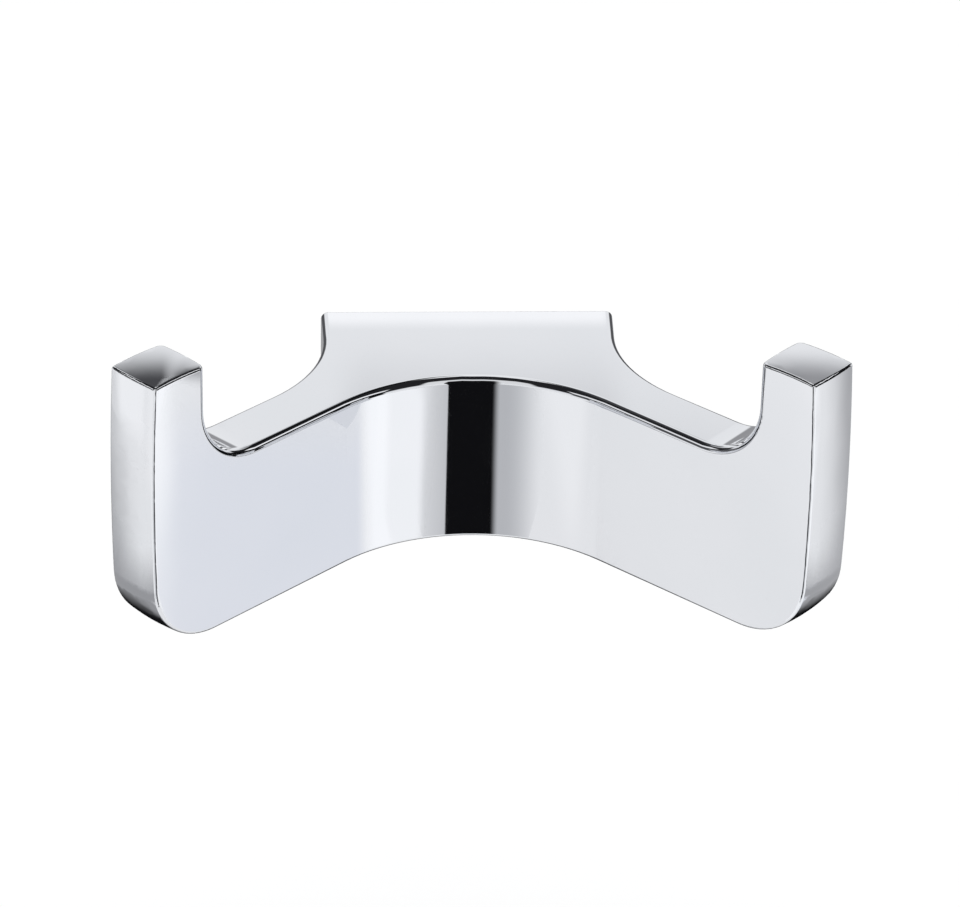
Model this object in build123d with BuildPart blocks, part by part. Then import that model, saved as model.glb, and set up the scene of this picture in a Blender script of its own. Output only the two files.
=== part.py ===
from build123d import *
import math
import os

# Towel hook: a chrome casting with two arms and two horns, held on a concealed wall bracket.
# Millimetres. The origin is the centre of the wall face, +X right, +Y into the wall, +Z up.

# Arms and horns
span = 120.0
arm_angle = 43.0
arm_thickness = 10.65
arm_height = 31.4
horn_rise = 19.65
horn_width = 10.9
saddle_radius = 11.0
toe_radius = 13.0
bow_radius = 31.5
end_bulge = 0.8
end_crown_radius = 32.0
horn_crown_radius = 60.0

# Neck
neck_width = 50.6
neck_draft = 1.5
neck_depth = 23.3
neck_fillet = 28.0

# Polished edges
saddle_round = 1.3
edge_round = 0.6

# Spare metal that the cuts on the horn's end and top take off, and the sweep of the cut on top
horn_spare = 3.0
crown_sweep = 20.0

# Pocket in the back of the neck
pocket_width = 42.0
pocket_depth = 13.0
top_wall = 3.5
bottom_wall = 5.0
lip_drop = 2.2
pocket_corner = 1.0

# Wall bracket
bracket_thickness = 9.0
bracket_foot = 2.5
bracket_bevel = 4.0
screw_spacing = 26.0
screw_hole_radius = 2.4
screw_sink_radius = 4.5
bracket_corner = 1.2

# Grub screw
grub_radius = 2.0
grub_length = 8.0
grub_point_radius = 0.7
socket_flats = 2.0
socket_depth = 2.4
mouth_chamfer = 0.35

# Clearances
seat_gap = 0.3
entry_gap = 0.3
side_gap = 0.5
thread_gap = 0.05
point_gap = 0.05

# Heights
body_bottom = -arm_height / 2
body_height = arm_height + horn_rise
blank_height = body_height + horn_spare
pocket_top = arm_height / 2 - top_wall
pocket_bottom = body_bottom + bottom_wall
bracket_top = pocket_top - seat_gap
bracket_height = pocket_top - lip_drop - pocket_bottom - entry_gap
bracket_bottom = bracket_top - bracket_height
bracket_middle = (bracket_top + bracket_bottom) / 2
grub_y = -bracket_foot - bracket_bevel / 2
grub_point = bracket_bottom + bracket_bevel / 2 - grub_point_radius - point_gap

# Right arm in plan: outward along the arm, and backward through its thickness
swing = math.radians(arm_angle)
along = Vector(math.cos(swing), -math.sin(swing))
through = Vector(math.sin(swing), math.cos(swing))
bow_centre = Vector(0, -neck_depth - bow_radius)
bow_end = bow_centre + through * bow_radius
tip_x = span / 2 - arm_thickness * through.X
tip = bow_end + along * ((tip_x - bow_end.X) / along.X)
back_tip = tip + through * arm_thickness
flare = math.tan(math.radians(neck_draft))
slope = math.tan(swing)
corner_y = (back_tip.Y + (back_tip.X - neck_width / 2) * slope) / (1 + flare * slope)
neck_corner = Vector(neck_width / 2 + corner_y * flare, corner_y)

# How near an edge lies to a plane to count as on it
on_plane = 0.01


def sharp_edges(part):
    """Edges whose two faces meet at a clear angle, those on the wall plane left out."""
    found = ShapeList()
    for edge in part.edges():
        middle = edge.position_at(0.5)
        normals = [face.normal_at(middle) for face in part.faces() if edge in face.edges()]
        if len(normals) == 2 and normals[0].get_angle(normals[1]) > 20 and middle.Y < -on_plane:
            found.append(edge)
    return found


# Hook body
with BuildPart() as hook_body:
    # Right half in plan, with spare metal at the horn's end and top
    with BuildSketch(Plane.XY.offset(body_bottom)) as plan:
        with BuildLine():
            bow = CenterArc(bow_centre, bow_radius, 90, -arm_angle)
            front = Line(bow @ 1, tip + along * horn_spare)
            end = Line(front @ 1, back_tip + along * horn_spare)
            back = Line(end @ 1, neck_corner)
            Polyline(back @ 1, (neck_width / 2, 0), (0, 0), bow @ 0)
        make_face()
        fillet(plan.vertices().sort_by_distance(neck_corner)[0], radius=neck_fillet)
    extrude(amount=blank_height)

    # Saddle between the horn and the neck
    arm_plane = Plane(tip + Vector(0, 0, body_bottom), x_dir=along * -1, z_dir=through)
    with BuildSketch(arm_plane):
        with BuildLine():
            wall = Line((horn_width, blank_height), (horn_width, arm_height + saddle_radius))
            curve = CenterArc(
                (horn_width + saddle_radius, arm_height + saddle_radius), saddle_radius, 180, 90
            )
            Polyline(curve @ 1, (span, arm_height), (span, blank_height), wall @ 0)
        make_face()
    extrude(amount=span, both=True, mode=Mode.SUBTRACT)
    arm_top = hook_body.faces().filter_by(Axis.Z).sort_by(Axis.Z)[-2]
    rim = sharp_edges(hook_body.part).filter_by(lambda edge: edge in arm_top.edges())
    fillet(rim.filter_by_position(Axis.X, on_plane, span), radius=saddle_round)

    # Horn end, bulged in height and crowned across the thickness
    end_inset = math.sqrt(end_crown_radius**2 - (arm_thickness / 2) ** 2)
    end_axis = tip + through * (arm_thickness / 2) - along * end_inset
    end_start = Vector(math.cos(-swing - math.pi / 4), math.sin(-swing - math.pi / 4))
    end_plane = Plane(
        end_axis + Vector(0, 0, body_bottom), x_dir=end_start, z_dir=end_start.cross(Vector(0, 0, 1))
    )
    with BuildSketch(end_plane):
        with BuildLine():
            bulge = SagittaArc((end_crown_radius, 0), (end_crown_radius, body_height), -end_bulge)
            outer = end_crown_radius + 2 * horn_spare
            Polyline(bulge @ 1, (outer, body_height), (outer, 0), bulge @ 0)
        make_face()
    revolve(axis=Axis(end_axis, (0, 0, 1)), revolution_arc=90, mode=Mode.SUBTRACT)

    # Horn top, crowned both ways
    horn_middle = tip - along * (horn_width / 2) + through * (arm_thickness / 2)
    crown_centre = horn_middle + Vector(0, 0, body_bottom + body_height - horn_crown_radius)
    lean = math.radians(crown_sweep / 2)
    crown_start = through * math.sin(lean) + Vector(0, 0, math.cos(lean))
    with BuildSketch(Plane(crown_centre, x_dir=along, z_dir=along.cross(crown_start))):
        with BuildLine():
            crown = CenterArc((0, 0), horn_crown_radius, 90 - crown_sweep / 2, crown_sweep)
            roof = horn_crown_radius + 2 * horn_spare
            Polyline(crown @ 1, ((crown @ 1).X, roof), ((crown @ 0).X, roof), crown @ 0)
        make_face()
    revolve(axis=Axis(crown_centre, along), revolution_arc=crown_sweep, mode=Mode.SUBTRACT)

    mirror(about=Plane.YZ)

    # Rounded toes, then every polished edge
    bottom_edges = hook_body.edges().group_by(Axis.Z)[0]
    fillet(bottom_edges.sort_by(lambda edge: abs(edge.center().X))[-2:], radius=toe_radius)
    fillet(sharp_edges(hook_body.part), radius=edge_round)

    # Pocket that fits over the bracket, with a sloped lip above
    with BuildSketch(Plane.YZ):
        with BuildLine():
            lip_depth = bracket_foot + bracket_bevel - lip_drop
            Polyline(
                (0, pocket_bottom),
                (0, pocket_top - lip_drop),
                (-lip_depth, pocket_top - lip_drop),
                (-lip_depth - lip_drop, pocket_top),
                (-pocket_depth, pocket_top),
                (-pocket_depth, pocket_bottom),
                close=True,
            )
        make_face()
    extrude(amount=pocket_width / 2, both=True, mode=Mode.SUBTRACT)
    pocket_edges = hook_body.edges(Select.LAST).filter_by(Axis.Y)
    fillet(pocket_edges.filter_by(lambda edge: edge.center().Y < -lip_depth), radius=pocket_corner)

    # Threaded hole for the grub screw
    with BuildSketch(Plane.XY.offset(body_bottom)):
        with Locations((0, grub_y)):
            Circle(grub_radius + thread_gap)
    extrude(amount=bottom_wall, mode=Mode.SUBTRACT)
    chamfer(hook_body.edges(Select.LAST).group_by(Axis.Z)[0], length=mouth_chamfer)
hook_body.part.label = "hook_body"

# Wall bracket
with BuildPart() as wall_bracket:
    with BuildSketch(Plane.YZ):
        with BuildLine():
            Polyline(
                (0, bracket_bottom + bracket_bevel),
                (0, bracket_top - bracket_bevel),
                (-bracket_foot, bracket_top - bracket_bevel),
                (-bracket_foot - bracket_bevel, bracket_top),
                (-bracket_thickness, bracket_top),
                (-bracket_thickness, bracket_bottom),
                (-bracket_foot - bracket_bevel, bracket_bottom),
                (-bracket_foot, bracket_bottom + bracket_bevel),
                close=True,
            )
        make_face()
    extrude(amount=pocket_width / 2 - side_gap, both=True)
    chamfer(wall_bracket.faces().sort_by(Axis.Y)[0].edges(), length=bracket_corner)
    bracket_front = Plane((0, -bracket_thickness, bracket_middle), x_dir=(1, 0, 0), z_dir=(0, -1, 0))
    with Locations(bracket_front):
        with GridLocations(screw_spacing, 0, 2, 1):
            CounterSinkHole(screw_hole_radius, screw_sink_radius, counter_sink_angle=90)
wall_bracket.part.label = "wall_bracket"

# Grub screw
with BuildPart() as grub_screw:
    with BuildSketch(Plane.XY.offset(grub_point - grub_length)):
        with Locations((0, grub_y)):
            Circle(grub_radius)
    extrude(amount=grub_length)
    chamfer(grub_screw.edges().sort_by(Axis.Z)[-1], length=grub_radius - grub_point_radius)
    with BuildSketch(Plane.XY.offset(grub_point - grub_length)):
        with Locations((0, grub_y)):
            RegularPolygon(radius=socket_flats / 2, side_count=6, major_radius=False)
    extrude(amount=socket_depth, mode=Mode.SUBTRACT)
grub_screw.part.label = "grub_screw"

os.makedirs("parts", exist_ok=True)
export_step(hook_body.part, "parts/hook_body.step")
export_step(wall_bracket.part, "parts/wall_bracket.step")
export_step(grub_screw.part, "parts/grub_screw.step")
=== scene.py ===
import math
from typing import NamedTuple

import bmesh
import bpy
from mathutils import Matrix, Vector


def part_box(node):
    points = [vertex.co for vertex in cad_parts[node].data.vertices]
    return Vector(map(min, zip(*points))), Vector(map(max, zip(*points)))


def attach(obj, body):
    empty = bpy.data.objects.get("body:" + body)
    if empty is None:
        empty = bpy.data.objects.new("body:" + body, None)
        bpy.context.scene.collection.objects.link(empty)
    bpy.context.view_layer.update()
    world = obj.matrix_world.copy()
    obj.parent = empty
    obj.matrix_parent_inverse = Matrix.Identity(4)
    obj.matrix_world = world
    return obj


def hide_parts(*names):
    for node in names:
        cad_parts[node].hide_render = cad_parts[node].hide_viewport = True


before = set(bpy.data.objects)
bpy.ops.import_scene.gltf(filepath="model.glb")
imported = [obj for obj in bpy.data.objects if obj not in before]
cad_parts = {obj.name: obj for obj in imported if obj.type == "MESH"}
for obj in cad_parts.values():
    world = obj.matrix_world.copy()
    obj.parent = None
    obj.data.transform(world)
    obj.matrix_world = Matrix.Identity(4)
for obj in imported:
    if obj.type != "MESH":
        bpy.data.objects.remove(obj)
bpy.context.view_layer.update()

bl_info = {
    "name": "Towel hook",
    "version": (1, 0, 0),
    "blender": (4, 5, 0),
    "location": "View3D > Sidebar > Towel hook",
    "description": "Finishes a chrome towel hook, threads its grub screw and sets a studio round it",
    "category": "Object",
}

MM = 0.001

# Points nearer than this are joined, and edges that turn more than this stay sharp
JOIN_GAP = 0.001 * MM
SHARP_ANGLE = math.radians(28)


# Sizes and colours

class ChromeSettings(bpy.types.PropertyGroup):
    """Polished chrome of the hook body."""

    colour: bpy.props.FloatVectorProperty(
        name="Chrome", description="Colour of the plating", subtype="COLOR",
        size=3, min=0, max=1, default=(0.75, 0.76, 0.79))
    shade: bpy.props.FloatVectorProperty(
        name="Chrome shade", description="Slightly deeper tint that drifts over the plating",
        subtype="COLOR", size=3, min=0, max=1, default=(0.73, 0.745, 0.775))
    drift: bpy.props.FloatProperty(
        name="Drift", description="Size of the patches of deeper tint", unit="LENGTH",
        min=0, default=22 * MM)
    polish: bpy.props.FloatVectorProperty(
        name="Polish", description="Lowest and highest roughness of the polished faces",
        size=2, min=0, max=1, default=(0.021, 0.048))
    smear: bpy.props.FloatProperty(
        name="Smear", description="Size of the patches of duller polish", unit="LENGTH",
        min=0, default=6 * MM)
    ripple: bpy.props.FloatProperty(
        name="Ripple length", description="Distance between the soft waves left by polishing",
        unit="LENGTH", min=0, default=9 * MM)
    ripple_height: bpy.props.FloatProperty(
        name="Ripple height", description="Height of those waves", unit="LENGTH",
        min=0, precision=6, default=0.004 * MM)
    casting: bpy.props.FloatVectorProperty(
        name="Cast surface", description="Colour of the thinly plated pocket and wall rim",
        subtype="COLOR", size=3, min=0, max=1, default=(0.50, 0.51, 0.53))
    cast_grain: bpy.props.FloatProperty(
        name="Cast grain", description="Size of the cast surface's grain", unit="LENGTH",
        min=0, default=0.5 * MM)
    cast_dullness: bpy.props.FloatVectorProperty(
        name="Cast dullness", description="Lowest and highest roughness that the grain adds",
        size=2, min=0, max=1, default=(0.30, 0.45))
    pit_depth: bpy.props.FloatProperty(
        name="Pit depth", description="Depth of the cast surface's grain", unit="LENGTH",
        min=0, precision=6, default=0.03 * MM)
    rim_depth: bpy.props.FloatProperty(
        name="Rim depth", description="How near a point lies to the wall to count as the rim",
        unit="LENGTH", min=0, precision=6, default=0.05 * MM)
    pocket_gap: bpy.props.FloatVectorProperty(
        name="Pocket gap", description="Room between the bracket and the walls of the pocket",
        subtype="XYZ", unit="LENGTH", size=3, default=(0.55 * MM, 4.05 * MM, 2.3 * MM))


class BracketSettings(bpy.types.PropertyGroup):
    """Zinc-plated steel of the wall bracket."""

    colour: bpy.props.FloatVectorProperty(
        name="Zinc", description="Colour of the plating", subtype="COLOR",
        size=3, min=0, max=1, default=(0.62, 0.63, 0.64))
    passivation: bpy.props.FloatVectorProperty(
        name="Passivation", description="Faint blue cast that clouds the plating",
        subtype="COLOR", size=3, min=0, max=1, default=(0.60, 0.63, 0.70))
    cloud: bpy.props.FloatProperty(
        name="Cloud", description="Size of the patches of passivation", unit="LENGTH",
        min=0, default=8 * MM)
    grain: bpy.props.FloatProperty(
        name="Grain", description="Width of the rolled steel's grain", unit="LENGTH",
        min=0, default=0.35 * MM)
    grain_stretch: bpy.props.FloatProperty(
        name="Grain stretch", description="How many times longer than wide the grain is",
        min=1, default=30)
    grain_depth: bpy.props.FloatProperty(
        name="Grain depth", description="Height of the grain", unit="LENGTH",
        min=0, precision=6, default=0.002 * MM)
    roughness: bpy.props.FloatVectorProperty(
        name="Roughness", description="Lowest and highest roughness of the plating",
        size=2, min=0, max=1, default=(0.28, 0.38))


class GrubScrewSettings(bpy.types.PropertyGroup):
    """Blackened grub screw with a real thread."""

    pitch: bpy.props.FloatProperty(
        name="Pitch", description="Distance from thread to thread", unit="LENGTH",
        min=0, default=0.7 * MM)
    thread_depth: bpy.props.FloatProperty(
        name="Thread depth", description="From crest to root", unit="LENGTH",
        min=0, default=0.38 * MM)
    crest: bpy.props.FloatProperty(
        name="Crest", description="Width of the flat on top of the thread", unit="LENGTH",
        min=0, default=0.09 * MM)
    point_radius: bpy.props.FloatProperty(
        name="Point radius", description="Flat at the end of the cone point", unit="LENGTH",
        min=0, default=0.7 * MM)
    socket_flats: bpy.props.FloatProperty(
        name="Socket", description="Width across the flats of the hexagon socket", unit="LENGTH",
        min=0, default=2.0 * MM)
    socket_depth: bpy.props.FloatProperty(
        name="Socket depth", description="Depth of the hexagon", unit="LENGTH",
        min=0, default=2.4 * MM)
    lead_in: bpy.props.FloatProperty(
        name="Lead-in", description="Chamfer where the thread starts", unit="LENGTH",
        min=0, default=0.35 * MM)
    colour: bpy.props.FloatVectorProperty(
        name="Black oxide", description="Colour of the blackened steel", subtype="COLOR",
        size=3, min=0, max=1, default=(0.055, 0.055, 0.06))
    bare: bpy.props.FloatVectorProperty(
        name="Bare steel", description="Colour where the black has rubbed off", subtype="COLOR",
        size=3, min=0, max=1, default=(0.20, 0.20, 0.21))
    worn_from: bpy.props.FloatProperty(
        name="Worn from", description="Share of the radius from which the black is rubbed off",
        subtype="FACTOR", min=0, max=1, default=0.94)
    scuff: bpy.props.FloatProperty(
        name="Scuff", description="Size of the scuffs", unit="LENGTH", min=0, default=0.8 * MM)
    scuff_depth: bpy.props.FloatProperty(
        name="Scuff depth", description="Depth of the scuffs", unit="LENGTH",
        min=0, precision=6, default=0.006 * MM)
    roughness: bpy.props.FloatVectorProperty(
        name="Roughness", description="Lowest and highest roughness of the black oxide",
        size=2, min=0, max=1, default=(0.32, 0.5))


class StageSettings(bpy.types.PropertyGroup):
    """Studio round the hook."""

    floor_depth: bpy.props.FloatProperty(
        name="Floor depth", description="Height of the floor below the wall face's centre",
        unit="LENGTH", min=0, default=150 * MM)
    floor_size: bpy.props.FloatProperty(
        name="Floor size", description="Side of the square floor", unit="LENGTH",
        min=0, default=8.0)
    floor_colour: bpy.props.FloatVectorProperty(
        name="Floor colour", description="Pale floor", subtype="COLOR",
        size=3, min=0, max=1, default=(0.93, 0.94, 0.95))
    floor_glow: bpy.props.FloatProperty(
        name="Floor glow", subtype="FACTOR", min=0, max=1, default=0.8,
        description="Share of even white in the floor, to the camera and in the chrome")
    horizon: bpy.props.FloatVectorProperty(
        name="Horizon", description="Colour of the studio low down", subtype="COLOR",
        size=3, min=0, max=1, default=(0.92, 0.925, 0.94))
    horizon_angle: bpy.props.FloatProperty(
        name="Horizon angle", description="Height at which the horizon starts to darken",
        subtype="ANGLE", default=math.radians(8))
    ceiling: bpy.props.FloatVectorProperty(
        name="Ceiling", description="Colour of the studio overhead", subtype="COLOR",
        size=3, min=0, max=1, default=(0.02, 0.02, 0.022))
    ceiling_angle: bpy.props.FloatProperty(
        name="Ceiling angle", description="Height from which the ceiling is dark",
        subtype="ANGLE", default=math.radians(14))
    lamp_level: bpy.props.FloatProperty(
        name="Lamp level", description="Brightness of a white floor under the lamp",
        min=0, default=1.05)
    lamp_angle: bpy.props.FloatProperty(
        name="Lamp angle", description="Spread of the soft lamp overhead", subtype="ANGLE",
        default=math.radians(60))
    camera_place: bpy.props.FloatVectorProperty(
        name="Camera place", description="Where the camera stands", subtype="TRANSLATION",
        unit="LENGTH", size=3, default=(-38.09 * MM, -706.28 * MM, 398.75 * MM))
    camera_aim: bpy.props.FloatVectorProperty(
        name="Camera aim", description="Point in the middle of the picture",
        subtype="TRANSLATION", unit="LENGTH", size=3,
        default=(0.46 * MM, -41.1 * MM, 11.18 * MM))
    camera_roll: bpy.props.FloatProperty(
        name="Camera roll", description="Tilt of the picture", subtype="ANGLE",
        default=math.radians(1.343))
    sensor: bpy.props.FloatProperty(
        name="Sensor", description="Width of the camera's sensor", unit="CAMERA",
        min=1, default=36)
    lens: bpy.props.FloatProperty(
        name="Lens", description="Focal length on that sensor", unit="CAMERA",
        min=1, default=173.9)
    near_clip: bpy.props.FloatProperty(
        name="Near clip", description="Distance from which the camera sees", unit="LENGTH",
        min=0, default=10 * MM)


class TowelHookSettings(bpy.types.PropertyGroup):
    """Everything that a user may change."""

    chrome: bpy.props.PointerProperty(type=ChromeSettings)
    bracket: bpy.props.PointerProperty(type=BracketSettings)
    grub_screw: bpy.props.PointerProperty(type=GrubScrewSettings)
    stage: bpy.props.PointerProperty(type=StageSettings)


# Node helpers

def opaque(colour):
    """A colour with full alpha."""
    return (*colour, 1.0)


def add_node(tree, kind, inputs=None, **options):
    """Add a node, set its options and its unlinked inputs."""
    node = tree.nodes.new(kind)
    for key, value in options.items():
        setattr(node, key, value)
    for key, value in (inputs or {}).items():
        node.inputs[key].default_value = value
    return node


def new_surface(name, metallic):
    """A material with one principled shader and object coordinates."""
    material = bpy.data.materials.new(name)
    material.use_nodes = True
    tree = material.node_tree
    shader = tree.nodes["Principled BSDF"]
    shader.inputs["Metallic"].default_value = metallic
    place = add_node(tree, "ShaderNodeTexCoord").outputs["Object"]
    return material, tree, shader, place


def noise(tree, place, size, detail=2.0, stretch=(1, 1, 1)):
    """Noise whose features are about size across, drawn out along an axis by stretch."""
    scale = [1 / (size * part) for part in stretch]
    mapping = add_node(tree, "ShaderNodeMapping", {"Scale": scale})
    texture = add_node(tree, "ShaderNodeTexNoise", {"Scale": 1.0, "Detail": detail})
    tree.links.new(place, mapping.inputs["Vector"])
    tree.links.new(mapping.outputs["Vector"], texture.inputs["Vector"])
    return texture.outputs["Fac"]


def spread(tree, value, low, high, start=0.3, end=0.7, smooth=False):
    """Map a value from start..end, by default where most of a noise lies, to low..high."""
    node = add_node(
        tree, "ShaderNodeMapRange",
        {"From Min": start, "From Max": end, "To Min": low, "To Max": high},
        interpolation_type="SMOOTHSTEP" if smooth else "LINEAR")
    tree.links.new(value, node.inputs["Value"])
    return node.outputs["Result"]


def math_node(tree, operation, first, second=None, third=None):
    """One math node; an argument is a socket or a number."""
    node = add_node(tree, "ShaderNodeMath", operation=operation)
    for slot, value in zip(node.inputs, (first, second, third)):
        if isinstance(value, bpy.types.NodeSocket):
            tree.links.new(value, slot)
        elif value is not None:
            slot.default_value = value
    return node.outputs["Value"]


def mix_colour(tree, factor, first, second):
    """Mix two colours or colour sockets."""
    node = add_node(tree, "ShaderNodeMix", data_type="RGBA")
    tree.links.new(factor, node.inputs["Factor"])
    # The node names its number, vector and colour sockets alike, so the colours go by place
    for slot, value in ((node.inputs[6], first), (node.inputs[7], second)):
        if isinstance(value, bpy.types.NodeSocket):
            tree.links.new(value, slot)
        else:
            slot.default_value = opaque(value)
    return node.outputs[2]


def bump(tree, height, distance, shader, under=None):
    """Raise the surface by height times distance."""
    node = add_node(tree, "ShaderNodeBump", {"Strength": 1.0, "Distance": distance})
    tree.links.new(height, node.inputs["Height"])
    if under is not None:
        tree.links.new(under, node.inputs["Normal"])
    tree.links.new(node.outputs["Normal"], shader.inputs["Normal"])
    return node.outputs["Normal"]


# Finishes

def inside_box(tree, place, low, high):
    """One inside the box, nought outside."""
    axes = add_node(tree, "ShaderNodeSeparateXYZ")
    tree.links.new(place, axes.inputs["Vector"])
    found = None
    for index in range(3):
        middle = (low[index] + high[index]) / 2
        half = (high[index] - low[index]) / 2
        part = math_node(tree, "COMPARE", axes.outputs[index], middle, half)
        found = part if found is None else math_node(tree, "MULTIPLY", found, part)
    return found


def chrome_finish(settings):
    """Mirror-polished plating, left satin in the pocket and on the wall rim."""
    material, tree, shader, place = new_surface("polished_chrome", 1.0)
    links = tree.links
    bracket_low, bracket_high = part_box("wall_bracket")
    body_low, body_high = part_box("hook_body")
    gap = Vector(settings.pocket_gap)
    rim_depth = settings.rim_depth
    pocket_high = bracket_high + Vector((gap.x, rim_depth, gap.x))
    pocket = inside_box(tree, place, bracket_low - gap, pocket_high)
    rim_low = Vector((body_low.x, body_high.y - rim_depth, body_low.z))
    rim = inside_box(tree, place, rim_low, body_high + Vector((0, rim_depth, 0)))
    satin = math_node(tree, "MAXIMUM", pocket, rim)

    drift = noise(tree, place, settings.drift)
    plating = mix_colour(tree, spread(tree, drift, 0, 1), settings.colour, settings.shade)
    links.new(mix_colour(tree, satin, plating, settings.casting), shader.inputs["Base Color"])

    smear = noise(tree, place, settings.smear, detail=4)
    polish = spread(tree, smear, *settings.polish)
    cast_grain = noise(tree, place, settings.cast_grain, detail=3)
    dull = spread(tree, cast_grain, *settings.cast_dullness)
    rough = math_node(tree, "ADD", polish, math_node(tree, "MULTIPLY", satin, dull))
    links.new(rough, shader.inputs["Roughness"])

    waves = noise(tree, place, settings.ripple, detail=1)
    soft = bump(tree, waves, settings.ripple_height, shader)
    pits = math_node(tree, "MULTIPLY", cast_grain, satin)
    bump(tree, pits, settings.pit_depth, shader, under=soft)
    return material


def zinc_finish(settings):
    """Bright zinc plating on rolled steel, with a faint passivation cast."""
    material, tree, shader, place = new_surface("zinc_plate", 1.0)
    links = tree.links
    cloud = noise(tree, place, settings.cloud, detail=3)
    links.new(
        mix_colour(tree, spread(tree, cloud, 0, 1), settings.colour, settings.passivation),
        shader.inputs["Base Color"])
    grain = noise(tree, place, settings.grain, detail=3, stretch=(settings.grain_stretch, 1, 1))
    links.new(spread(tree, grain, *settings.roughness), shader.inputs["Roughness"])
    bump(tree, grain, settings.grain_depth, shader)
    return material


def oxide_finish(settings):
    """Black oxide, rubbed bright along the thread's crests."""
    material, tree, shader, place = new_surface("black_oxide", 1.0)
    links = tree.links
    low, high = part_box("grub_screw")
    radius = (high.x - low.x) / 2
    centre = (low + high) / 2
    moved = add_node(tree, "ShaderNodeMapping", {"Location": (-centre.x, -centre.y, 0)})
    links.new(place, moved.inputs["Vector"])
    axes = add_node(tree, "ShaderNodeSeparateXYZ")
    links.new(moved.outputs["Vector"], axes.inputs["Vector"])
    reach = math_node(
        tree, "SQRT",
        math_node(
            tree, "ADD",
            math_node(tree, "POWER", axes.outputs["X"], 2.0),
            math_node(tree, "POWER", axes.outputs["Y"], 2.0)))
    crest = spread(tree, reach, 0, 1, start=radius * settings.worn_from, end=radius)
    scuff = noise(tree, place, settings.scuff, detail=4)
    worn = math_node(tree, "MULTIPLY", crest, spread(tree, scuff, 0, 1, start=0.4, end=0.6))
    links.new(mix_colour(tree, worn, settings.colour, settings.bare), shader.inputs["Base Color"])
    links.new(spread(tree, scuff, *settings.roughness), shader.inputs["Roughness"])
    bump(tree, scuff, settings.scuff_depth, shader)
    return material


# Hook body and bracket

def dress(node, material):
    """Give a CAD node its finish and shading that runs smoothly over tangent faces."""
    node.data.materials.clear()
    node.data.materials.append(material)
    weld = node.modifiers.new("weld", "WELD")
    weld.merge_threshold = JOIN_GAP
    split = node.modifiers.new("sharp_edges", "EDGE_SPLIT")
    split.split_angle = SHARP_ANGLE
    split.use_edge_sharp = False
    shading = node.modifiers.new("shading", "WEIGHTED_NORMAL")
    shading.mode = "FACE_AREA"
    shading.weight = 100
    shading.keep_sharp = False


class TOWELHOOK_OT_finish_body(bpy.types.Operator):
    """Polish and plate the hook body"""

    bl_idname = "towel_hook.finish_body"
    bl_label = "Finish the hook body"

    def execute(self, context):
        material = chrome_finish(context.scene.towel_hook.chrome)
        dress(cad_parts["hook_body"], material)
        return {"FINISHED"}


class TOWELHOOK_OT_finish_bracket(bpy.types.Operator):
    """Plate the wall bracket"""

    bl_idname = "towel_hook.finish_bracket"
    bl_label = "Finish the wall bracket"

    def execute(self, context):
        material = zinc_finish(context.scene.towel_hook.bracket)
        dress(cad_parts["wall_bracket"], material)
        return {"FINISHED"}


# Grub screw

# Straight pieces in one turn of the thread, shared out over the sides of the hexagon
HEXAGON_SIDES = 6
TURN_STEPS = 8 * HEXAGON_SIDES

# Width of the drill's point at the bottom of the socket, as a share of the socket's width
DRILL_POINT = 0.05


def ring_edges(bm, height):
    """Open edges that lie level at a height."""
    near = 2 * JOIN_GAP
    return [
        edge for edge in bm.edges
        if edge.is_boundary and all(abs(vert.co.z - height) < near for vert in edge.verts)
    ]


def level_circle(bm, count, radius, height):
    """A circle of edges about the axis."""
    lift = Matrix.Translation((0, 0, height))
    made = bmesh.ops.create_circle(bm, segments=count, radius=radius, matrix=lift)
    return list(dict.fromkeys(edge for vert in made["verts"] for edge in vert.link_edges))


def pull_ring(bm, edges, shift, factor=1.0):
    """Extrude an open ring by a height, drawing it in by a factor, and return the new ring."""
    made = bmesh.ops.extrude_edge_only(bm, edges=edges)["geom"]
    verts = [item for item in made if isinstance(item, bmesh.types.BMVert)]
    bmesh.ops.translate(bm, verts=verts, vec=(0, 0, shift))
    bmesh.ops.scale(bm, verts=verts, vec=(factor, factor, 1))
    return [item for item in made if isinstance(item, bmesh.types.BMEdge)]


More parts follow.
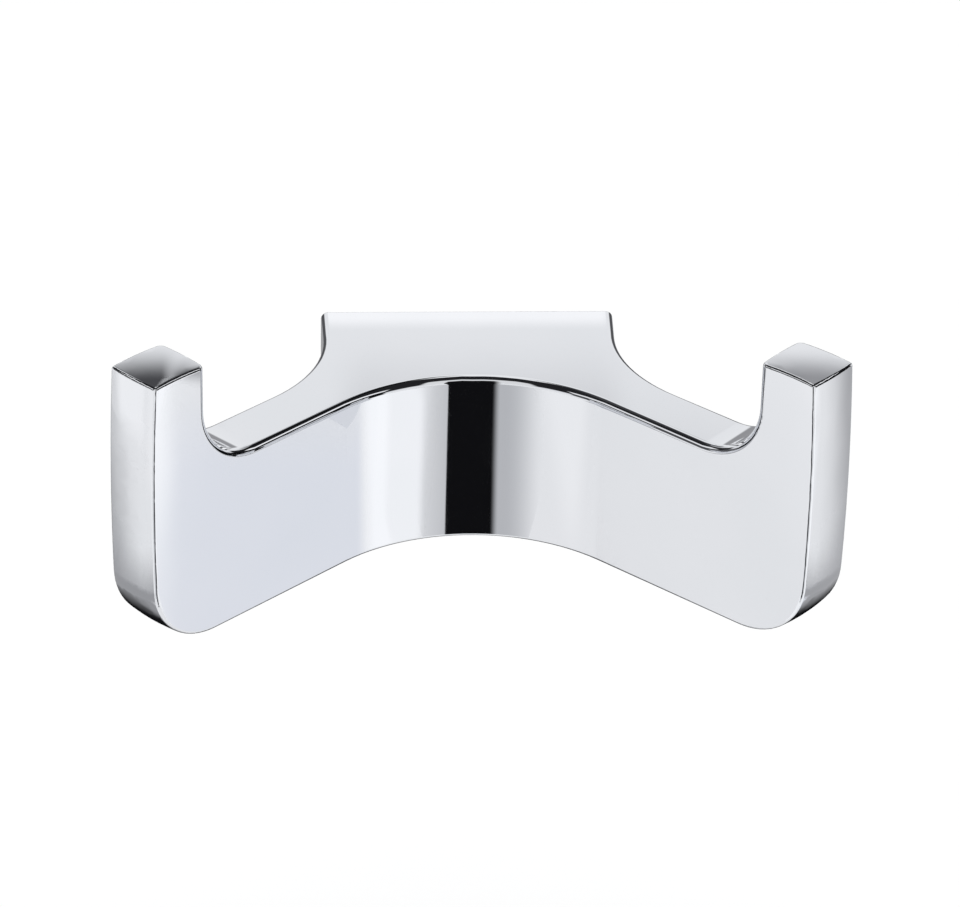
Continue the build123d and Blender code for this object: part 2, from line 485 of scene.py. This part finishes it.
def threaded_screw(settings, radius, length):
    """Bmesh of a grub screw on the Z axis, socket at nought and point at its length."""
    bm = bmesh.new()
    pitch = settings.pitch
    root = radius - settings.thread_depth
    cone = radius - settings.point_radius
    start = settings.lead_in
    stop = length - cone

    # One turn of the thread: a flank, a crest, a flank and a flat root
    flank = (pitch - 2 * settings.crest) / 2
    profile = (
        (root, 0),
        (radius, flank),
        (radius, flank + settings.crest),
        (root, pitch - settings.crest),
        (root, pitch),
    )
    verts = [bm.verts.new((reach, 0, height - pitch)) for reach, height in profile]
    edges = [bm.edges.new(pair) for pair in zip(verts, verts[1:])]

    # The thread runs a turn past each end and is cut off square there
    turns = math.ceil(stop / pitch) + 2
    bmesh.ops.spin(
        bm, geom=verts + edges, cent=(0, 0, 0), axis=(0, 0, 1), dvec=(0, 0, pitch / TURN_STEPS),
        angle=2 * math.pi * turns, steps=TURN_STEPS * turns, use_merge=False)
    bmesh.ops.remove_doubles(bm, verts=bm.verts, dist=JOIN_GAP)
    for height, direction in ((start, -1), (stop, 1)):
        bmesh.ops.bisect_plane(
            bm, geom=list(bm.verts) + list(bm.edges) + list(bm.faces), dist=JOIN_GAP / 10,
            plane_co=(0, 0, height), plane_no=(0, 0, direction), clear_outer=True)

    # Cone point
    tip = level_circle(bm, TURN_STEPS, settings.point_radius, length)
    bmesh.ops.bridge_loops(bm, edges=ring_edges(bm, stop) + tip)
    bmesh.ops.edgeloop_fill(bm, edges=tip)

    # Chamfered end with the hexagon socket
    face = level_circle(bm, TURN_STEPS, root, 0)
    bmesh.ops.bridge_loops(bm, edges=ring_edges(bm, start) + face)
    hexagon = level_circle(bm, HEXAGON_SIDES, settings.socket_flats / math.sqrt(3), 0)
    cut = bmesh.ops.subdivide_edges(bm, edges=hexagon, cuts=TURN_STEPS // HEXAGON_SIDES - 1)
    mouth = list(dict.fromkeys(item for item in cut["geom"] if isinstance(item, bmesh.types.BMEdge)))
    bmesh.ops.bridge_loops(bm, edges=face + mouth)
    bottom = pull_ring(bm, mouth, settings.socket_depth)
    drill = pull_ring(bm, bottom, settings.socket_flats / 4, DRILL_POINT)
    bmesh.ops.edgeloop_fill(bm, edges=drill)
    bmesh.ops.remove_doubles(bm, verts=bm.verts, dist=JOIN_GAP / 2)
    bmesh.ops.recalc_face_normals(bm, faces=bm.faces)
    return bm


class TOWELHOOK_OT_make_grub_screw(bpy.types.Operator):
    """Cut the thread and the socket of the grub screw"""

    bl_idname = "towel_hook.make_grub_screw"
    bl_label = "Make the grub screw"

    def execute(self, context):
        settings = context.scene.towel_hook.grub_screw
        low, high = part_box("grub_screw")
        bm = threaded_screw(settings, (high.x - low.x) / 2, high.z - low.z)
        loose = [edge for edge in bm.edges if not edge.is_manifold]
        if loose:
            raise RuntimeError(f"the grub screw has {len(loose)} open edges")
        centre = (low + high) / 2
        bmesh.ops.translate(bm, verts=bm.verts, vec=(centre.x, centre.y, low.z))
        mesh = bpy.data.meshes.new("threaded_grub_screw")
        bm.to_mesh(mesh)
        bm.free()
        mesh.materials.append(oxide_finish(settings))
        screw = bpy.data.objects.new("threaded_grub_screw", mesh)
        context.scene.collection.objects.link(screw)
        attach(screw, "root")
        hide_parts("grub_screw")
        return {"FINISHED"}


# Studio

class Card(NamedTuple):
    """A card that only reflections see.

    It lies flat, stands upright or stands sideways at one height or distance, and reaches from its
    low to its high corner. Its border says how far the light fades in from the low and the high edge
    across, then from the low and the high edge up.
    """

    name: str
    plane: str
    at: float
    low: tuple
    high: tuple
    light: tuple
    border: tuple


# Turn of each plane, and the axes of a card's width, height and distance on it
PLANES = {
    "flat": ((0, 0, 0), (0, 1, 2)),
    "upright": ((math.pi / 2, 0, 0), (0, 2, 1)),
    "sideways": ((math.pi / 2, 0, math.pi / 2), (1, 2, 0)),
}

BLACK = (0.006, 0.006, 0.007)
# Every card is painted light: it glows in the chrome's reflections alone, lights nothing and casts
# no shadow. Dark cards paint dark reflections and shade, and bright ones paint highlights.
CARDS = (
    # In front: a black flag, a grey shade round it, a fill for the left arm and a pale wall
    Card("front_flag", "upright", -0.180, (-0.034, -0.149), (0.0482, 0.100), BLACK,
         (0.013, 0.002, 0.001, 0.02)),
    Card("front_shade", "upright", -0.210, (-0.150, -0.149), (0.187, -0.036), (0.60, 0.605, 0.62),
         (0.100, 0.190, 0.001, 0.036)),
    Card("left_arm_fill", "upright", -0.075, (0.0222, -0.066), (0.068, -0.018), (1.15, 1.155, 1.16),
         (0.0068, 0.018, 0.006, 0.006)),
    Card("front_wall", "upright", -0.9, (-0.6, 0.03), (0.6, 0.95), (0.9, 0.9, 0.9),
         (0.1, 0.1, 0.04, 0.20)),
    # Just above the floor: bright strips in front, pale cards at the sides, painted shades behind
    # and below, and a black painted shadow under the hook
    Card("right_strip", "flat", -0.144, (0.10, -0.36), (0.56, -0.070), (1.22, 1.225, 1.23),
         (0.06, 0.16, 0.12, 0.060)),
    Card("left_strip", "flat", -0.144, (-0.60, -0.34), (-0.15, -0.10), (1.09, 1.09, 1.09),
         (0.10, 0.05, 0.10, 0.05)),
    Card("left_end_card", "flat", -0.145, (-0.60, -0.13), (-0.36, 0.06), (1.12, 1.12, 1.12),
         (0.10, 0.06, 0.04, 0.05)),
    Card("cool_card", "flat", -0.145, (0.10, -0.11), (0.275, -0.020), (0.93, 0.95, 1.0),
         (0.03, 0.05, 0.03, 0.020)),
    # A black card under the hook that paints the hook's own shadow into the reflections
    Card("under_painted_shadow", "flat", -0.146, (-0.205, -0.03), (0.190, 0.22), BLACK,
         (0.11, 0.08, 0.05, 0.03)),
    Card("right_toe_shade", "flat", -0.147, (0.0, -0.047), (0.31, 0.45), (0.44, 0.44, 0.45),
         (0.02, 0.13, 0.030, 0.02)),
    Card("left_toe_shade", "flat", -0.147, (-0.305, -0.070), (0.0, 0.45), (0.37, 0.37, 0.38),
         (0.12, 0.02, 0.035, 0.02)),
    Card("right_floor_shade", "flat", -0.148, (0.05, -0.07), (0.80, 0.45), (0.50, 0.50, 0.51),
         (0.05, 0.20, 0.18, 0.02)),
    Card("left_floor_shade", "flat", -0.148, (-0.50, -0.09), (-0.02, 0.45), (0.30, 0.30, 0.31),
         (0.30, 0.02, 0.17, 0.02)),
    # Beside the ends: a bright card that paints the highlight on the left arm's edge, and a small
    # grey card that paints shade on each toe
    Card("left_edge_painted_highlight", "sideways", 0.078, (-0.100, -0.110), (-0.0682, 0.0), (1.24, 1.245, 1.25),
         (0.006, 0.0065, 0.075, 0.010)),
    # Grey cards close beside the toes that paint shade into their reflections
    Card("right_toe_painted_shade", "sideways", 0.085, (-0.080, -0.041), (0.0, -0.014), (0.45, 0.45, 0.46),
         (0.012, 0.03, 0.006, 0.016)),
    Card("left_toe_painted_shade", "sideways", -0.085, (-0.080, -0.043), (0.0, -0.013), (0.40, 0.40, 0.41),
         (0.012, 0.03, 0.006, 0.017)),
    # Behind: a white wall with a dark foot, and the painted shades and highlight strips that the
    # tops reflect
    Card("back_wall", "upright", 0.45, (-0.6, -0.15), (0.6, 0.80), (1.0, 1.005, 1.01),
         (0.1, 0.1, 0.01, 0.05)),
    Card("wall_foot", "upright", 0.445, (-0.6, -0.149), (0.6, 0.09), (0.35, 0.35, 0.36),
         (0.05, 0.05, 0.001, 0.05)),
    Card("left_back_flag", "upright", 0.440, (-0.6, -0.149), (-0.10, 0.14), (0.10, 0.10, 0.105),
         (0.05, 0.06, 0.001, 0.06)),
    Card("right_back_flag", "upright", 0.440, (0.10, -0.149), (0.6, 0.14), (0.10, 0.10, 0.105),
         (0.06, 0.05, 0.001, 0.06)),
    Card("left_horn_shade", "upright", 0.149, (-0.16, 0.085), (-0.040, 0.60), (0.08, 0.08, 0.085),
         (0.02, 0.015, 0.115, 0.10)),
    Card("left_horn_flag", "upright", 0.0, (-0.053, 0.052), (-0.012, 0.14), (0.09, 0.09, 0.095),
         (0.008, 0.012, 0.030, 0.02)),
    Card("right_horn_shade", "upright", 0.149, (0.03, 0.105), (0.17, 0.30), (0.38, 0.38, 0.39),
         (0.015, 0.03, 0.10, 0.07)),
    Card("neck_shade", "upright", 0.148, (-0.022, 0.100), (0.045, 0.16), (0.82, 0.82, 0.83),
         (0.01, 0.01, 0.025, 0.03)),
    Card("centre_strip", "upright", 0.147, (-0.045, 0.20), (0.045, 0.70), (1.05, 1.05, 1.05),
         (0.02, 0.02, 0.03, 0.03)),
    Card("back_shade", "upright", 0.150, (-0.115, 0.19), (0.45, 0.80), BLACK,
         (0.02, 0.05, 0.13, 0.10)),
    # A bright strip just behind the wall face that paints the highlight along the neck's back edge
    Card("neck_edge_painted_highlight", "upright", 0.010, (-0.027, 0.017), (0.027, 0.0250), (1.2, 1.2, 1.2),
         (0.003, 0.003, 0.001, 0.003)),
    # At the sides and overhead
    Card("right_softbox", "sideways", 0.6, (-0.45, 0.34), (0.15, 0.56), (1.15, 1.15, 1.15),
         (0.05, 0.05, 0.03, 0.04)),
    Card("right_flag", "sideways", 0.55, (-0.45, -0.10), (0.20, 0.30), BLACK,
         (0.05, 0.05, 0.05, 0.02)),
    Card("left_softbox", "sideways", -0.6, (-0.45, 0.30), (0.15, 0.56), (1.0, 1.0, 1.0),
         (0.05, 0.05, 0.04, 0.04)),
    Card("left_flag", "sideways", -0.55, (-0.45, -0.02), (0.20, 0.24), (0.10, 0.10, 0.105),
         (0.05, 0.05, 0.05, 0.04)),
    Card("overhead_strip", "flat", 0.5, (-0.12, 0.0), (0.12, 0.18), (1.1, 1.1, 1.1),
         (0.05, 0.05, 0.03, 0.03)),
)


def card_finish(card):
    """Even light that fades out at the card's edges."""
    material = bpy.data.materials.new(card.name)
    material.use_nodes = True
    tree = material.node_tree
    tree.nodes.clear()
    place = add_node(tree, "ShaderNodeTexCoord").outputs["Object"]
    axes = add_node(tree, "ShaderNodeSeparateXYZ")
    tree.links.new(place, axes.inputs["Vector"])
    cover = 1.0
    for index in range(2):
        half = (card.high[index] - card.low[index]) / 2
        for side, border in ((-half, card.border[2 * index]), (half, -card.border[2 * index + 1])):
            fade = spread(tree, axes.outputs[index], 0, 1, side, side + border, smooth=True)
            cover = math_node(tree, "MULTIPLY", fade, cover)
    clear = add_node(tree, "ShaderNodeBsdfTransparent")
    glow = add_node(tree, "ShaderNodeEmission", {"Color": opaque(card.light), "Strength": 1.0})
    mix = add_node(tree, "ShaderNodeMixShader")
    output = add_node(tree, "ShaderNodeOutputMaterial")
    tree.links.new(cover, mix.inputs["Fac"])
    tree.links.new(clear.outputs["BSDF"], mix.inputs[1])
    tree.links.new(glow.outputs["Emission"], mix.inputs[2])
    tree.links.new(mix.outputs["Shader"], output.inputs["Surface"])
    return material


def flat_mesh(name, width, height):
    """A rectangle about the origin."""
    bm = bmesh.new()
    shape = Matrix.Diagonal((width / 2, height / 2, 1, 1))
    bmesh.ops.create_grid(bm, x_segments=1, y_segments=1, size=1, matrix=shape)
    mesh = bpy.data.meshes.new(name)
    bm.to_mesh(mesh)
    bm.free()
    return mesh


def place_card(context, card):
    """Put a card in the studio, out of the camera's sight, out of shadows and out of diffuse light,
    so that it only paints a reflection in the chrome.
    """
    turn, order = PLANES[card.plane]
    mesh = flat_mesh(card.name, card.high[0] - card.low[0], card.high[1] - card.low[1])
    mesh.materials.append(card_finish(card))
    item = bpy.data.objects.new(card.name, mesh)
    item.rotation_euler = turn
    middle = ((card.low[0] + card.high[0]) / 2, (card.low[1] + card.high[1]) / 2, card.at)
    for axis, value in zip(order, middle):
        item.location[axis] = value
    item.visible_camera = False
    item.visible_shadow = False
    item.visible_diffuse = False
    context.scene.collection.objects.link(item)


def hang_lamp(context, settings):
    """A wide soft lamp overhead, which the chrome doesn't show."""
    lamp = bpy.data.lights.new("soft_lamp", "SUN")
    lamp.energy = settings.lamp_level * math.pi
    lamp.angle = settings.lamp_angle
    item = bpy.data.objects.new("soft_lamp", lamp)
    item.visible_glossy = False
    context.scene.collection.objects.link(item)


def floor_finish(settings):
    """Pale floor that takes a soft shadow and shows white to the camera and in the chrome."""
    material = bpy.data.materials.new("pale_floor")
    material.use_nodes = True
    tree = material.node_tree
    tree.nodes.clear()
    paint = add_node(tree, "ShaderNodeBsdfDiffuse", {"Color": opaque(settings.floor_colour)})
    glow = add_node(tree, "ShaderNodeEmission", {"Color": (1, 1, 1, 1), "Strength": 1.0})
    mix = add_node(tree, "ShaderNodeMixShader")
    output = add_node(tree, "ShaderNodeOutputMaterial")
    rays = add_node(tree, "ShaderNodeLightPath").outputs
    seen = math_node(tree, "MAXIMUM", rays["Is Camera Ray"], rays["Is Glossy Ray"])
    seen = math_node(tree, "MAXIMUM", seen, rays["Is Transmission Ray"])
    share = math_node(tree, "MULTIPLY", seen, settings.floor_glow)
    tree.links.new(share, mix.inputs["Fac"])
    tree.links.new(paint.outputs["BSDF"], mix.inputs[1])
    tree.links.new(glow.outputs["Emission"], mix.inputs[2])
    tree.links.new(mix.outputs["Shader"], output.inputs["Surface"])
    return material


def studio_world(settings):
    """White to the camera, and to everything else a pale horizon under a dark ceiling."""
    world = bpy.data.worlds.new("studio")
    world.use_nodes = True
    tree = world.node_tree
    tree.nodes.clear()
    place = add_node(tree, "ShaderNodeTexCoord").outputs["Generated"]
    axes = add_node(tree, "ShaderNodeSeparateXYZ")
    tree.links.new(place, axes.inputs["Vector"])
    ramp = add_node(tree, "ShaderNodeValToRGB")
    points = ramp.color_ramp.elements
    points[0].position = math.sin(settings.horizon_angle)
    points[0].color = opaque(settings.horizon)
    points[1].position = math.sin(settings.ceiling_angle)
    points[1].color = opaque(settings.ceiling)
    tree.links.new(axes.outputs["Z"], ramp.inputs["Fac"])
    tent = add_node(tree, "ShaderNodeBackground", {"Strength": 1.0})
    tree.links.new(ramp.outputs["Color"], tent.inputs["Color"])
    white = add_node(tree, "ShaderNodeBackground", {"Color": (1, 1, 1, 1), "Strength": 1.0})
    rays = add_node(tree, "ShaderNodeLightPath").outputs
    mix = add_node(tree, "ShaderNodeMixShader")
    output = add_node(tree, "ShaderNodeOutputWorld")
    tree.links.new(rays["Is Camera Ray"], mix.inputs["Fac"])
    tree.links.new(tent.outputs["Background"], mix.inputs[1])
    tree.links.new(white.outputs["Background"], mix.inputs[2])
    tree.links.new(mix.outputs["Shader"], output.inputs["Surface"])
    return world


def stand_camera(context, settings):
    """Put the camera where the picture was taken from."""
    camera = bpy.data.cameras.new("camera")
    camera.sensor_fit = "HORIZONTAL"
    camera.sensor_width = settings.sensor
    camera.lens = settings.lens
    camera.clip_start = settings.near_clip
    stand = bpy.data.objects.new("camera", camera)
    place = Vector(settings.camera_place)
    look = (Vector(settings.camera_aim) - place).to_track_quat("-Z", "Y")
    roll = Matrix.Rotation(settings.camera_roll, 4, "Z")
    stand.matrix_world = Matrix.Translation(place) @ look.to_matrix().to_4x4() @ roll
    context.scene.collection.objects.link(stand)
    context.scene.camera = stand


class TOWELHOOK_OT_set_stage(bpy.types.Operator):
    """Lay the floor, stand the cards and the camera, and light the studio"""

    bl_idname = "towel_hook.set_stage"
    bl_label = "Set the stage"

    def execute(self, context):
        settings = context.scene.towel_hook.stage
        mesh = flat_mesh("floor", settings.floor_size, settings.floor_size)
        mesh.materials.append(floor_finish(settings))
        floor = bpy.data.objects.new("floor", mesh)
        floor.location = (0, 0, -settings.floor_depth)
        context.scene.collection.objects.link(floor)
        for card in CARDS:
            place_card(context, card)
        hang_lamp(context, settings)
        context.scene.world = studio_world(settings)
        stand_camera(context, settings)
        context.scene.view_settings.view_transform = "Standard"
        return {"FINISHED"}


# Sidebar and registration

class TOWELHOOK_PT_sidebar(bpy.types.Panel):
    """Steps of the towel hook's finish"""

    bl_idname = "TOWELHOOK_PT_sidebar"
    bl_label = "Towel hook"
    bl_space_type = "VIEW_3D"
    bl_region_type = "UI"
    bl_category = "Towel hook"

    def draw(self, context):
        for step in STEPS:
            self.layout.operator(step.bl_idname, text=step.bl_label)


STEPS = (
    TOWELHOOK_OT_finish_body,
    TOWELHOOK_OT_finish_bracket,
    TOWELHOOK_OT_make_grub_screw,
    TOWELHOOK_OT_set_stage,
)

CLASSES = (
    ChromeSettings,
    BracketSettings,
    GrubScrewSettings,
    StageSettings,
    TowelHookSettings,
    *STEPS,
    TOWELHOOK_PT_sidebar,
)


def register():
    for item in CLASSES:
        bpy.utils.register_class(item)
    bpy.types.Scene.towel_hook = bpy.props.PointerProperty(type=TowelHookSettings)


def unregister():
    del bpy.types.Scene.towel_hook
    for item in reversed(CLASSES):
        bpy.utils.unregister_class(item)


def main():
    register()
    bpy.ops.towel_hook.finish_body()
    bpy.ops.towel_hook.finish_bracket()
    bpy.ops.towel_hook.make_grub_screw()
    bpy.ops.towel_hook.set_stage()


if __name__ == "__main__":
    main()
